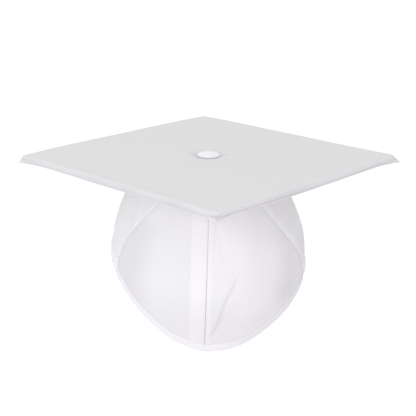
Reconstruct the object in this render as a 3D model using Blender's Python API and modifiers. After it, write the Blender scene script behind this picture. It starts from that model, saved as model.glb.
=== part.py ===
"""Graduation cap: a stiff square board covered in fabric, a covered button at its
centre, and a soft crown with a pointed front hem and a gathered, elastic back.

Frame: metres, +Z up. The origin is the centre of the head opening. The front of
the cap (the point of the crown) faces -Y, and the board's diagonals lie along X
and Y. Angles round the crown start at the front (-Y) and grow towards +X.
"""

import math

import bmesh
import bpy
from mathutils import Matrix, Vector

# ---------------------------------------------------------------- dimensions
GAP = 0.0003               # clearance between pieces that touch

BOARD_SIDE = 0.241         # a nine and a half inch board
BOARD_TOP = 0.102          # height of the board's upper face over the head opening
BOARD_CORNER = 0.0035      # corner radius of the covered board
CORE_THICK = 0.0020        # stiff insert
COVER_THICK = 0.0007       # cover fabric
COVER_EDGE_ROUND = 0.0011  # rounding of the cover over the board's upper edge
UNDER_FIELD = 0.080        # radius of the ring of under cover that the crown seam draws up
UNDER_LIFT = 0.00015       # how far it is drawn up
SEAM_LIP = 0.0003          # the under cover stands out past the edge by this much
EAR = 0.0021               # extra at each corner where the edge seams are turned out
EAR_LENGTH = 0.016         # length along the edge over which an ear grows

CLOTH = 0.0009             # crown cloth
SEAM_RADIUS = 0.064        # where the crown is sewn to the board
FLANGE = 0.008             # crown seam allowance, turned in flat under the board
SWELL = 0.028              # growth in radius from the seam to the widest level
SWELL_HEIGHT = 0.087       # height over which the crown swells
DEPTH_RATIO = 0.035        # the opening is this much deeper than wide
TUCK = 0.0065              # how the front point curls in below the widest level
GATHER = 0.005             # how far the elastic draws the back in

SIDE_HEM = 0.004           # hem height at the sides
BACK_HEM = 0.000           # hem height at the centre back
POINT_DROP = 0.0537        # the front point hangs this far below the side hem
HEM_SKEW = 0.0088          # the right side hangs lower and the left side higher

TWIST_TOP = -0.9           # the crown is sewn on turned by this much against the board, degrees
TWIST_POINT = -2.2         # and its cloth turns this much more down to the front point
TWIST_HEIGHT = 0.150

SIDE_SEAM_LEFT = (20.9, 87.0, -44.0)   # angle of the left side seam down the crown, degrees: at the board, its run, its bend
SIDE_SEAM_RIGHT = (25.4, 72.9, -21.2)  # the same for the right side seam
SEAM_GAP_ANGLE = 0.16      # half the clearance at a seam, degrees

FRONT_COLUMNS, FRONT_ROWS = 12, 10
BACK_COLUMNS, BACK_ROWS = 16, 9

BINDING_HEIGHT = 0.0070
BINDING_THICK = 0.0008
CASING_HEIGHT = 0.0140
CASING_THICK = 0.0007
CASING_CLEAR = 0.0007      # the gathered back stands off its casing by this much
ELASTIC_WIDTH = 0.0100
ELASTIC_THICK = 0.0012
STAY_LEFT, STAY_RIGHT = 0.014, 0.005
STAY_THICK = 0.0006
THREAD = 0.0003            # thread radius

BUTTON_RADIUS = 0.0105
BUTTON_FIELD = 0.028       # half-width of the part of the cover that the button draws down
BUTTON_DENT_HALF = 0.018   # half-width of the flat floor of that dent
BUTTON_DENT = 0.0013          # depth of the dent
BUTTON_HEIGHT = 0.0036
PRONG_HOLE = 0.0024
PRONG_WIDTH = 0.0030
PRONG_THICK = 0.0005
PRONG_REACH = 0.0085
WASHER_RADIUS = 0.0070
WASHER_THICK = 0.0005

LABEL_WIDTH, LABEL_HEIGHT, LABEL_THICK = 0.030, 0.020, 0.0005

# heights that follow from the stack of the board
CORE_TOP = BOARD_TOP - COVER_THICK - BUTTON_DENT - GAP
CORE_BOTTOM = CORE_TOP - CORE_THICK
UNDER_TOP = CORE_BOTTOM - GAP
UNDER_BOTTOM = UNDER_TOP - COVER_THICK
CROWN_TOP = UNDER_BOTTOM - GAP

# ------------------------------------------------------------------- scene
for old in list(bpy.data.objects):
    bpy.data.objects.remove(old, do_unlink=True)

parts = bpy.data.collections.new("graduation_cap")
cutters = bpy.data.collections.new("cutters")
bpy.context.scene.collection.children.link(parts)
bpy.context.scene.collection.children.link(cutters)


def material(name, colour, roughness, metallic=0.0):
    mat = bpy.data.materials.new(name)
    mat.use_nodes = True
    shader = mat.node_tree.nodes["Principled BSDF"]
    shader.inputs["Base Color"].default_value = (*colour, 1.0)
    shader.inputs["Roughness"].default_value = roughness
    shader.inputs["Metallic"].default_value = metallic
    return mat


WHITE = (0.80, 0.79, 0.81)
BRIGHT = (0.86, 0.85, 0.88)


def dress(obj, colour=WHITE, roughness=0.75, metallic=0.0, smooth=True):
    obj.data.materials.append(material(obj.name, colour, roughness, metallic))
    if smooth and obj.type == "MESH":
        obj.data.shade_smooth()
        obj.data.set_sharp_from_angle(angle=math.radians(40))
    return obj


def mesh_object(name, mesh_data, **look):
    obj = bpy.data.objects.new(name, mesh_data)
    parts.objects.link(obj)
    return dress(obj, **look)


def from_bmesh(name, bm, **look):
    mesh_data = bpy.data.meshes.new(name)
    bm.to_mesh(mesh_data)
    bm.free()
    return mesh_object(name, mesh_data, **look)


# ------------------------------------------------------------ crown surface
def hem_height(angle):
    """Height of the crown's lower edge: a soft V at the front, level at the back."""
    a = math.radians(angle)
    c, s = math.cos(a), math.sin(a)
    skew = -HEM_SKEW * s
    if c < 0:
        return SIDE_HEM + (BACK_HEM - SIDE_HEM) * c * c + skew
    peak = 0.93 * c * c + 0.07 * (1.0 - math.sqrt(s * s + 0.003)) / (1.0 - math.sqrt(0.003))
    return SIDE_HEM - POINT_DROP * peak + skew


def crown_point(angle, height, inset=0.0):
    """A point of the crown's outer surface, moved in by inset along the radius."""
    down = min(1.0, max(0.0, (CROWN_TOP - height) / TWIST_HEIGHT))
    a = math.radians(angle + TWIST_TOP + TWIST_POINT * down)
    u = (CROWN_TOP - height) / SWELL_HEIGHT
    x = 1.19 * max(u, 0.0) / 1.03
    swell = 1.03 * x / (1.0 + x ** 5) ** 0.2
    radius = SEAM_RADIUS + SWELL * swell - TUCK * max(0.0, u - 1.0) ** 2
    behind = min(1.0, max(0.0, (abs(wrapped(angle)) - 80.0) / 50.0))
    behind = behind * behind * (3.0 - 2.0 * behind)
    radius -= GATHER * behind * max(0.0, min(u, 1.2)) ** 3
    depth = 1.0 + DEPTH_RATIO * min(1.0, swell)
    radius -= inset
    return Vector((radius * math.sin(a), -radius * depth * math.cos(a), height))


def wrapped(angle):
    return (angle + 180.0) % 360.0 - 180.0


def side_seam(t, shape=SIDE_SEAM_RIGHT):
    """Angle of a side seam at a share of its height, from the board to the hem."""
    top, run, bend = shape
    return top + run * t + bend * t * t


def left_seam(t):
    return -side_seam(t, SIDE_SEAM_LEFT)


RIGHT_HEM, LEFT_HEM = side_seam(1.0), -left_seam(1.0)


def crown_row(start, end, columns, t):
    """Angles start..end at level t, as (angle, height) pairs."""
    row = []
    for j in range(columns + 1):
        angle = start + (end - start) * j / columns
        low = hem_height(angle)
        row.append((angle, CROWN_TOP + (low - CROWN_TOP) * t))
    return row


def grid_object(name, rows, thickness, offset, **look):
    """A sheet through a grid of points, thickened by Solidify. Rows run downwards
    and columns towards growing angles, so the faces point outwards."""
    bm = bmesh.new()
    verts = [[bm.verts.new(p) for p in row] for row in rows]
    for upper, lower in zip(verts, verts[1:]):
        for j in range(len(upper) - 1):
            bm.faces.new((upper[j], lower[j], lower[j + 1], upper[j + 1]))
    obj = from_bmesh(name, bm, **look)
    solid = obj.modifiers.new("Thickness", "SOLIDIFY")
    solid.thickness = thickness
    solid.offset = offset
    solid.use_even_offset = True
    return obj


def panel(name, sides, columns, rows_down, colour):
    """One crown panel. sides(t) gives its two edge angles at level t."""
    start, end = sides(0.0)
    rows = []
    for share in (1.0, 0.5):
        ring = []
        for j in range(columns + 1):
            p = crown_point(start + (end - start) * j / columns, CROWN_TOP)
            ring.append(p - Vector((p.x, p.y, 0)).normalized() * FLANGE * share)
        rows.append(ring)
    for i in range(rows_down + 1):
        t = i / rows_down
        start, end = sides(t)
        rows.append([crown_point(a, z) for a, z in crown_row(start, end, columns, t)])
    return grid_object(name, rows, CLOTH, -1.0, colour=colour)


# ------------------------------------------------------------------- board
def square_plate(name, side, low, high, corner, **look):
    """A square plate with its diagonals on X and Y and rounded corners."""
    bm = bmesh.new()
    bmesh.ops.create_cube(bm, size=1.0)
    bmesh.ops.scale(bm, vec=(side, side, high - low), verts=bm.verts)
    bmesh.ops.translate(bm, vec=(0, 0, (high + low) / 2), verts=bm.verts)
    upright = [e for e in bm.edges if abs(e.verts[0].co.z - e.verts[1].co.z) > 1e-6]
    bmesh.ops.bevel(bm, geom=upright, offset=corner, segments=3, profile=0.5, affect="EDGES")
    bmesh.ops.rotate(bm, cent=(0, 0, 0), matrix=Matrix.Rotation(math.radians(45), 3, "Z"), verts=bm.verts)
    return from_bmesh(name, bm, **look)


def prong_cutter():
    bm = bmesh.new()
    bmesh.ops.create_cone(
        bm, cap_ends=True, cap_tris=False, segments=16,
        radius1=PRONG_HOLE, radius2=PRONG_HOLE, depth=0.03,
    )
    mesh_data = bpy.data.meshes.new("prong_hole_cutter")
    bm.to_mesh(mesh_data)
    bm.free()
    obj = bpy.data.objects.new("prong_hole_cutter", mesh_data)
    obj.location = (0, 0, CORE_BOTTOM)
    obj.hide_render = True
    obj.display_type = "WIRE"
    cutters.objects.link(obj)
    return obj


cutter = prong_cutter()


def cut_prong_hole(obj):
    cut = obj.modifiers.new("Prong hole", "BOOLEAN")
    cut.object = cutter
    cut.operation = "DIFFERENCE"
    cut.solver = "EXACT"


core = square_plate(
    "board_core", BOARD_SIDE - 2 * (COVER_THICK + GAP), CORE_BOTTOM, CORE_TOP,
    BOARD_CORNER - COVER_THICK - GAP, colour=(0.62, 0.58, 0.50), roughness=0.9, smooth=False,
)
cut_prong_hole(core)


def top_cover():
    """The upper cover: a tray of cloth, open below, that wraps the board's edge."""
    bm = bmesh.new()
    bmesh.ops.create_cube(bm, size=1.0)
    height = BOARD_TOP - (CORE_BOTTOM + GAP)
    bmesh.ops.scale(bm, vec=(BOARD_SIDE, BOARD_SIDE, height), verts=bm.verts)
    bmesh.ops.translate(bm, vec=(0, 0, BOARD_TOP - height / 2), verts=bm.verts)
    upright = [e for e in bm.edges if abs(e.verts[0].co.z - e.verts[1].co.z) > 1e-6]
    bmesh.ops.bevel(bm, geom=upright, offset=BOARD_CORNER, segments=3, profile=0.5, affect="EDGES")
    bottom = [f for f in bm.faces if all(v.co.z < BOARD_TOP - height / 2 for v in f.verts)]
    bmesh.ops.delete(bm, geom=bottom, context="FACES_ONLY")
    rim = [e for e in bm.edges if all(abs(v.co.z - BOARD_TOP) < 1e-6 for v in e.verts)]
    bmesh.ops.bevel(bm, geom=rim, offset=COVER_EDGE_ROUND, segments=2, profile=0.5, affect="EDGES")
    for axis in (Vector((1, 0, 0)), Vector((0, 1, 0))):
        for side in (-BUTTON_FIELD, BUTTON_FIELD):
            everything = bm.verts[:] + bm.edges[:] + bm.faces[:]
            bmesh.ops.bisect_plane(bm, geom=everything, plane_co=axis * side, plane_no=axis)
    field = [f for f in bm.faces if f.calc_center_median().xy.length < 1e-4 and f.normal.z > 0.9]
    bmesh.ops.inset_individual(bm, faces=field, thickness=BUTTON_FIELD - BUTTON_DENT_HALF, depth=-BUTTON_DENT)
    bmesh.ops.rotate(bm, cent=(0, 0, 0), matrix=Matrix.Rotation(math.radians(45), 3, "Z"), verts=bm.verts)
    obj = from_bmesh("board_top_cover", bm)
    solid = obj.modifiers.new("Thickness", "SOLIDIFY")
    solid.thickness = COVER_THICK
    solid.offset = -1.0
    solid.use_even_offset = True
    cut_prong_hole(obj)
    return obj


top_cover()


def ear_outline():
    """Outline of the under cover: a square that runs out to an ear at each corner."""
    half = BOARD_SIDE / 2 + SEAM_LIP
    marks = (-1.0, -0.97, -0.93, -0.85, -0.6, -0.35, -0.12, 0.12, 0.35, 0.6, 0.85, 0.93, 0.97)
    points = []
    for side in range(4):
        turn = Matrix.Rotation(math.radians(45 + 90 * side), 2)
        for m in marks:
            along = m * half
            past = max(0.0, abs(along) - (half - EAR_LENGTH)) / EAR_LENGTH
            out = half + EAR * past ** 2
            if m == -1.0:
                along = -out
            points.append(turn @ Vector((along, -out)))
    return points


def under_cover():
    """The lower cover: a flat ring of cloth from the eared outline in to a round
    opening, whose edge lies over the crown's seam allowance."""
    outline = ear_outline()
    bm = bmesh.new()
    rings = [[bm.verts.new((p.x, p.y, UNDER_TOP)) for p in outline]]
    for radius, lift in ((UNDER_FIELD, 0.0), (UNDER_FIELD - 0.006, UNDER_LIFT), (SEAM_RADIUS - FLANGE - 0.002, UNDER_LIFT)):
        rings.append([bm.verts.new((*(p.normalized() * radius), UNDER_TOP + lift)) for p in outline])
    for outer, inner in zip(rings, rings[1:]):
        for j in range(len(outline)):
            k = (j + 1) % len(outline)
            bm.faces.new((outer[j], outer[k], inner[k], inner[j]))
    obj = from_bmesh("board_underside_cover", bm)
    solid = obj.modifiers.new("Thickness", "SOLIDIFY")
    solid.thickness = COVER_THICK
    solid.offset = -1.0
    return obj


under_cover()


# ------------------------------------------------------------------ button
def turned(name, profile, steps, **look):
    """A turned piece: a closed profile of (radius, height) points, or one that
    starts and ends on the axis, swept round Z with a Screw."""
    mesh_data = bpy.data.meshes.new(name)
    closed = profile[0][0] > 0
    edges = [(i, i + 1) for i in range(len(profile) - 1)]
    if closed:
        edges.append((len(profile) - 1, 0))
    mesh_data.from_pydata([(r, 0, z) for r, z in profile], edges, [])
    obj = mesh_object(name, mesh_data, smooth=False, **look)
    screw = obj.modifiers.new("Turn", "SCREW")
    screw.steps = screw.render_steps = steps
    screw.use_merge_vertices = True
    screw.merge_threshold = 0.00001
    screw.use_smooth_shade = True
    return obj


def dome(radius, low, height, steps):
    """Points of a flattened dome, from its crown on the axis down to its rim."""
    return [
        (radius * math.sin(math.radians(90 * i / steps)),
         low + height * math.cos(math.radians(90 * i / steps)))
        for i in range(steps + 1)
    ]


BUTTON_LOW = BOARD_TOP - BUTTON_DENT + GAP
FOLD = 0.0005
dome_low = BUTTON_LOW + 0.0009
dome_high = BUTTON_HEIGHT - 0.0009
inner_rim = BUTTON_RADIUS - FOLD
hem_in = BUTTON_RADIUS - 0.0029
turned(
    "button_cover",
    dome(BUTTON_RADIUS, dome_low, dome_high, 6)
    + [(BUTTON_RADIUS - 0.0002, BUTTON_LOW + 0.0002), (BUTTON_RADIUS - 0.0006, BUTTON_LOW),
       (hem_in, BUTTON_LOW), (hem_in, BUTTON_LOW + FOLD), (inner_rim, BUTTON_LOW + FOLD + 0.0001)]
    + list(reversed(dome(inner_rim, dome_low, dome_high - FOLD, 5)))[1:],
    32, colour=BRIGHT,
)
shell_rim = inner_rim - GAP
shell_low = dome_low
SHELL = 0.0004
turned(
    "button_shell",
    dome(shell_rim, shell_low, dome_high - FOLD - GAP, 5)
    + list(reversed(dome(shell_rim - SHELL, shell_low, dome_high - FOLD - GAP - SHELL, 5))),
    28, colour=(0.72, 0.72, 0.74), roughness=0.35, metallic=1.0,
)
plate_r = hem_in - GAP
turned(
    "button_back_plate",
    [(PRONG_HOLE, BUTTON_LOW + 0.0005), (plate_r, BUTTON_LOW + 0.0005), (plate_r, BUTTON_LOW), (PRONG_HOLE, BUTTON_LOW)],
    24, colour=(0.72, 0.72, 0.74), roughness=0.35, metallic=1.0,
)


def prong():
    """A split pin: a small head under the shell and two legs, bent apart below."""
    low = UNDER_TOP - WASHER_THICK - GAP
    head_low = BUTTON_LOW + 0.0005 + GAP
    inner = 0.0004
    outer = inner + PRONG_THICK
    head = 0.0040
    outline = [
        (-head, head_low + PRONG_THICK), (-head, head_low), (-outer, head_low),
        (-outer, low), (-PRONG_REACH, low), (-PRONG_REACH, low - PRONG_THICK),
        (-inner, low - PRONG_THICK), (-inner, head_low), (inner, head_low),
        (inner, low - PRONG_THICK), (PRONG_REACH, low - PRONG_THICK), (PRONG_REACH, low),
        (outer, low), (outer, head_low), (head, head_low), (head, head_low + PRONG_THICK),
    ]
    curve = bpy.data.curves.new("button_prong", "CURVE")
    curve.dimensions = "2D"
    curve.fill_mode = "BOTH"
    curve.extrude = PRONG_WIDTH / 2
    spline = curve.splines.new("POLY")
    spline.points.add(len(outline) - 1)
    for point, (x, z) in zip(spline.points, outline):
        point.co = (x, z, 0.0, 1.0)
    spline.use_cyclic_u = True
    obj = bpy.data.objects.new("button_prong", curve)
    obj.rotation_euler = (math.radians(90), 0, 0)
    parts.objects.link(obj)
    return dress(obj, colour=(0.74, 0.68, 0.50), roughness=0.3, metallic=1.0)


prong()
turned(
    "button_washer",
    [(PRONG_HOLE, UNDER_TOP), (WASHER_RADIUS, UNDER_TOP),
     (WASHER_RADIUS, UNDER_TOP - WASHER_THICK), (PRONG_HOLE, UNDER_TOP - WASHER_THICK)],
    24, colour=(0.75, 0.75, 0.72), roughness=0.6,
)

# ------------------------------------------------------------------- crown
panel("front_left_panel", lambda t: (left_seam(t) + SEAM_GAP_ANGLE, -SEAM_GAP_ANGLE), FRONT_COLUMNS, FRONT_ROWS, WHITE)
panel("front_right_panel", lambda t: (SEAM_GAP_ANGLE, side_seam(t) - SEAM_GAP_ANGLE), FRONT_COLUMNS, FRONT_ROWS, WHITE)
panel("back_right_panel", lambda t: (side_seam(t) + SEAM_GAP_ANGLE, 180 - SEAM_GAP_ANGLE), BACK_COLUMNS, BACK_ROWS, WHITE)
panel("back_left_panel", lambda t: (180 + SEAM_GAP_ANGLE, 360 + left_seam(t) - SEAM_GAP_ANGLE), BACK_COLUMNS, BACK_ROWS, WHITE)


def stations(start, end, columns):
    return [start + (end - start) * j / columns for j in range(columns + 1)]


FRONT_HEM = (
    stations(-LEFT_HEM + SEAM_GAP_ANGLE, -SEAM_GAP_ANGLE, FRONT_COLUMNS)
    + stations(SEAM_GAP_ANGLE, RIGHT_HEM - SEAM_GAP_ANGLE, FRONT_COLUMNS)
)
BACK_HEM_ANGLES = (
    stations(RIGHT_HEM + SEAM_GAP_ANGLE, 180 - SEAM_GAP_ANGLE, BACK_COLUMNS)
    + stations(180 + SEAM_GAP_ANGLE, 360 - LEFT_HEM - SEAM_GAP_ANGLE, BACK_COLUMNS)
)


def channel(name, angles, height, clear, inner_gap, thickness, colour):
    """A folded strip that wraps the crown's lower edge, from its outer leaf under
    the edge to its inner leaf."""
    inner = CLOTH + inner_gap
    levels = (
        (-clear, height), (-clear, height / 2), (-clear, -GAP),
        (inner, -GAP), (inner, height / 2), (inner, height),
    )
    rows = []
    for inset, rise in levels:
        rows.append([crown_point(a, hem_height(a) + rise, inset) for a in angles])
    return grid_object(name, rows, thickness, 1.0, colour=colour)


channel("hem_binding", FRONT_HEM, BINDING_HEIGHT, GAP, 1.5 * GAP, BINDING_THICK, BRIGHT)
channel("elastic_casing", BACK_HEM_ANGLES, CASING_HEIGHT, CASING_CLEAR, CASING_CLEAR + 2 * GAP + ELASTIC_THICK + 0.0003, CASING_THICK, WHITE)


def strip(name, angles, low, high, inset, thickness, colour, roughness=0.75):
    rows = []
    for rise in (high, (high + low) / 2, low):
        rows.append([crown_point(a, hem_height(a) + rise, inset) for a in angles])
    return grid_object(name, rows, thickness, -1.0, colour=colour, roughness=roughness)


rise = (CASING_HEIGHT - ELASTIC_WIDTH) / 2
strip("elastic_band", BACK_HEM_ANGLES, rise, rise + ELASTIC_WIDTH, CLOTH + CASING_CLEAR + 0.0002, ELASTIC_THICK, (0.85, 0.85, 0.86), 0.6)


def front_stay():
    """A tape behind the centre front seam, wider to the left of it."""
    rows = []
    top = CROWN_TOP - CLOTH - 2 * GAP - STAY_THICK
    for i in range(FRONT_ROWS + 1):
        row = []
        for width in (-STAY_LEFT, -STAY_LEFT / 2, 0.0, STAY_RIGHT):
            angle = math.degrees(width / 0.090)
            low = hem_height(angle) + BINDING_HEIGHT + 2 * GAP
            row.append(crown_point(angle, top + (low - top) * i / FRONT_ROWS, CLOTH + 2 * GAP))
        rows.append(row)
    return grid_object("front_seam_stay", rows, STAY_THICK, -1.0, colour=BRIGHT)


front_stay()


def thread(name, points, closed=False):
    """A line of stitching, as a thin tube along its course."""
    curve = bpy.data.curves.new(name, "CURVE")
    curve.dimensions = "3D"
    curve.bevel_depth = THREAD
    curve.bevel_resolution = 1
    curve.use_fill_caps = not closed
    spline = curve.splines.new("POLY")
    spline.points.add(len(points) - 1)
    for point, at in zip(spline.points, points):
        point.co = (*at, 1.0)
    spline.use_cyclic_u = closed
    obj = bpy.data.objects.new(name, curve)
    parts.objects.link(obj)
    return dress(obj, colour=BRIGHT, roughness=0.5)


def hem_line(angles, rise, inset):
    return [crown_point(a, hem_height(a) + rise, inset) for a in angles]


def down_line(angle_at, inset, top, stop, rows_down):
    """Points down the crown at angle_at(t), from just under the board to stop above the hem."""
    points = []
    for i in range(rows_down + 1):
        t = top + (1.0 - top) * i / rows_down
        angle = angle_at(t)
        low = hem_height(angle)
        z = CROWN_TOP + (low - CROWN_TOP) * t
        if z > low + stop:
            points.append(crown_point(angle, z, inset))
    return points


outside = -(GAP + BINDING_THICK + GAP + THREAD)
thread("hem_thread", hem_line(FRONT_HEM[1:-1], BINDING_HEIGHT - 0.0008, outside - 0.0001))
outside = -(CASING_CLEAR + CASING_THICK + GAP + THREAD)
thread("elastic_thread", hem_line(BACK_HEM_ANGLES[1:-1], CASING_HEIGHT - 0.0010, outside - 0.0001))
inside = CLOTH + GAP + THREAD
thread("front_seam_thread", down_line(lambda t: 0.0, inside + 2 * GAP + STAY_THICK + 0.0002, 0.04, 0.009, 16))
thread("back_seam_thread", down_line(lambda t: 180.0, inside + 0.0003, 0.04, 0.036, 16))
thread("side_seam_thread_left", down_line(left_seam, inside + 0.0003, 0.04, 0.017, 16))
thread("side_seam_thread_right", down_line(side_seam, inside + 0.0003, 0.04, 0.017, 16))
ring = SEAM_RADIUS + GAP + THREAD + 0.0002
thread(
    "crown_seam_thread",
    [
        crown_point(360 * i / 48, CROWN_TOP - 0.0006, -(GAP + THREAD + 0.0002)) for i in range(48)
    ],
    closed=True,
)


def care_label():
    """A small blank label, sewn flat inside the centre back above the casing."""
    low = hem_height(180) + CASING_HEIGHT + 0.002
    a = crown_point(180, low, CLOTH + 0.0012)
    b = crown_point(180, low + LABEL_HEIGHT, CLOTH + 0.0012)
    bm = bmesh.new()
    bmesh.ops.create_cube(bm, size=1.0)
    bmesh.ops.scale(bm, vec=(LABEL_WIDTH, LABEL_THICK, LABEL_HEIGHT), verts=bm.verts)
    lean = math.atan2(a.y - b.y, LABEL_HEIGHT)
    bmesh.ops.rotate(bm, cent=(0, 0, 0), matrix=Matrix.Rotation(lean, 3, "X"), verts=bm.verts)
    sagitta = (LABEL_WIDTH / 2) ** 2 / (2 * abs(a.y))
    middle = (a + b) / 2
    bmesh.ops.translate(bm, vec=middle - Vector((0, sagitta, 0)), verts=bm.verts)
    return from_bmesh("care_label", bm, colour=(0.9, 0.9, 0.9), roughness=0.6, smooth=False)


care_label()
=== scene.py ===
import math

import bpy
import numpy as np
from mathutils import Matrix, Vector


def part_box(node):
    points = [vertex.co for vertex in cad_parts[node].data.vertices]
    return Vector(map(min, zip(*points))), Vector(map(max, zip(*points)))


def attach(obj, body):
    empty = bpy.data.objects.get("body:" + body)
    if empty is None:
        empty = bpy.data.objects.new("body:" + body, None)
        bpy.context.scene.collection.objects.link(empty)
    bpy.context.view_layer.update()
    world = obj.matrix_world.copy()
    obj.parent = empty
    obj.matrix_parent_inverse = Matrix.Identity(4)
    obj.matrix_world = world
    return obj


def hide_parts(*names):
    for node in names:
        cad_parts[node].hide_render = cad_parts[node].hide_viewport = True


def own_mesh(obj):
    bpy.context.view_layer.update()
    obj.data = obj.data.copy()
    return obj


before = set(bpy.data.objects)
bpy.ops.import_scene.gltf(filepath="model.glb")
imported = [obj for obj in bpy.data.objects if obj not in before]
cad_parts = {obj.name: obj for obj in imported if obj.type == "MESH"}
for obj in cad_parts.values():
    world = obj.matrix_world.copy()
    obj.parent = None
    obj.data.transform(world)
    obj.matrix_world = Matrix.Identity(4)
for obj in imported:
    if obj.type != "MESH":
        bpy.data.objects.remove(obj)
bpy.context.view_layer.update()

# ============================================================ sizes, from the frame
BOARD_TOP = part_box("board_top_cover")[1].z
UNDER_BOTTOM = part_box("board_underside_cover")[0].z
CROWN_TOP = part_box("front_left_panel")[1].z
CORE_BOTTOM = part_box("board_core")[0].z
BUTTON_LOW, BUTTON_HIGH = (c.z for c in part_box("button_cover"))
BUTTON_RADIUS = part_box("button_cover")[1].x
HALF = 0.1205              # half the board's side
CORNER = 0.0035
EAR, EAR_LENGTH, SEAM_LIP = 0.0021, 0.016, 0.0003

SEAM_RADIUS, FLANGE = 0.064, 0.008
SWELL, SWELL_HEIGHT, DEPTH_RATIO, TUCK, GATHER = 0.028, 0.087, 0.035, 0.0065, 0.005
SIDE_HEM, BACK_HEM, POINT_DROP, HEM_SKEW = 0.004, 0.000, 0.0537, 0.0088
SIDE_SEAM_LEFT, SIDE_SEAM_RIGHT = (20.9, 87.0, -44.0), (25.4, 72.9, -21.2)
TWIST_TOP, TWIST_POINT, TWIST_HEIGHT = -0.9, -2.2, 0.150
BINDING_HEIGHT, CASING_HEIGHT = 0.0070, 0.0140
STAY_LEFT, STAY_RIGHT = 0.014, 0.005
CLOTH = 0.00045            # thickness that the visible cloth is made


# ============================================================ small maths
def smooth(x, low, high):
    t = np.clip((np.asarray(x, float) - low) / (high - low), 0.0, 1.0)
    return t * t * (3.0 - 2.0 * t)


def bell(x, width):
    return np.exp(-(np.asarray(x, float) / width) ** 2)


def ripple(u, v, length, seed, waves=9):
    """Smooth, repeatable noise of about unit size: a sum of plane waves."""
    rng = np.random.RandomState(seed)
    total = np.zeros(np.broadcast(u, v).shape)
    for _ in range(waves):
        a = rng.uniform(0, math.pi)
        k = 2 * math.pi / length * rng.uniform(0.6, 1.5)
        total = total + np.sin(k * (u * math.cos(a) + v * math.sin(a)) + rng.uniform(0, 2 * math.pi))
    return total / math.sqrt(waves / 2.0) / 2.0


# ============================================================ the crown's surface
def hem(angle):
    a = np.radians(angle)
    c, s = np.cos(a), np.sin(a)
    skew = -HEM_SKEW * s
    front = 0.93 * c * c + 0.07 * (1.0 - np.sqrt(s * s + 0.003)) / (1.0 - math.sqrt(0.003))
    return np.where(c < 0, SIDE_HEM + (BACK_HEM - SIDE_HEM) * c * c, SIDE_HEM - POINT_DROP * front) + skew


def crown(angle, z, out=0.0):
    """Points of the crown's outer surface, moved out along the radius."""
    angle, z = np.broadcast_arrays(np.asarray(angle, float), np.asarray(z, float))
    down = np.clip((CROWN_TOP - z) / TWIST_HEIGHT, 0.0, 1.0)
    a = np.radians(angle + TWIST_TOP + TWIST_POINT * down)
    u = (CROWN_TOP - z) / SWELL_HEIGHT
    x = 1.19 * np.maximum(u, 0.0) / 1.03
    swell = 1.03 * x / (1.0 + x ** 5) ** 0.2
    radius = SEAM_RADIUS + SWELL * swell - TUCK * np.maximum(0.0, u - 1.0) ** 2
    wrapped = (angle + 180.0) % 360.0 - 180.0
    behind = smooth(np.abs(wrapped), 80.0, 130.0)
    radius = radius - GATHER * behind * np.clip(u, 0.0, 1.2) ** 3
    depth = 1.0 + DEPTH_RATIO * np.minimum(1.0, swell)
    radius = radius + out
    return np.stack([radius * np.sin(a), -radius * depth * np.cos(a), z], -1)


def side_seam(t, shape=SIDE_SEAM_RIGHT):
    t = np.clip(t, 0.0, 1.0)
    return shape[0] + shape[1] * t + shape[2] * t * t


def left_seam(t):
    return -side_seam(t, SIDE_SEAM_LEFT)


RIGHT_HEM, LEFT_HEM = float(side_seam(1.0)), float(-left_seam(1.0))


def seam_distance(angle, z, t, which):
    """Signed distance in metres, along the cloth, from a seam: 0 front, 1 right side, -1 left side, 2 back."""
    line = {0: 0.0 * t, 1: side_seam(t), -1: left_seam(t), 2: 0.0 * t + 180.0}[which]
    off = (np.asarray(angle) - line + 180.0) % 360.0 - 180.0
    radius = np.hypot(*np.moveaxis(crown(angle, z), -1, 0)[:2])
    slope = {0: 1.0, 1: 0.83, -1: 0.83, 2: 1.0}[which]
    return np.radians(off) * radius * slope


def line_distance(angle, z, points):
    """Distance from a bent line on the crown, its side, and the share along it. The
    points are (angle, height)."""
    radius = 0.092
    p = np.stack([np.radians(angle) * radius, z], -1)
    line = np.array([[math.radians(a) * radius, h] for a, h in points])
    total = np.linalg.norm(np.diff(line, axis=0), axis=1).sum()
    best = np.full(np.shape(z), 1e9)
    side, share, gone = np.zeros(np.shape(z)), np.zeros(np.shape(z)), 0.0
    for a, b in zip(line, line[1:]):
        d = b - a
        length = np.linalg.norm(d)
        t = np.clip(((p - a) @ d) / length ** 2, 0, 1)
        near = a + t[..., None] * d
        dist = np.linalg.norm(p - near, axis=-1)
        cross = d[0] * (p[..., 1] - a[1]) - d[1] * (p[..., 0] - a[0])
        closer = dist < best
        best = np.where(closer, dist, best)
        side = np.where(closer, np.sign(cross), side)
        share = np.where(closer, (gone + t * length) / total, share)
        gone += length
    return best, side, share


# folds in the crown, as (angle, height) points down the cloth
CREASES = [
    # a fold pulled up from the foot of the centre seam, to the right
    dict(points=[(0.9, -0.0365), (2.2, -0.0360), (4.9, -0.0326), (6.9, -0.0249), (8.8, -0.0156), (10.7, -0.0046), (14.2, 0.0075), (18.3, 0.0195), (22.0, 0.0268)],
         sharp=0.0013, width=0.0018, lift=0.0011, spread=0.007, fade=0.68),
    # a shallow hollow that runs down beside the centre seam
    dict(points=[(6.0, 0.072), (6.6, 0.060), (7.7, 0.052), (8.8, 0.0424), (10.4, 0.031), (12.0, 0.020)],
         sharp=0.0006, width=0.0042, lift=0.0004, spread=0.010, fade=0.6, rise=0.3),
    # the front cloth is drawn a little towards the right side seam
    dict(points=[(52.0, 0.050), (61.0, 0.032), (66.0, 0.016)], sharp=0.0003, width=0.0018, lift=0.0003, spread=0.004, fade=0.6, rise=0.35),
]


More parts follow.
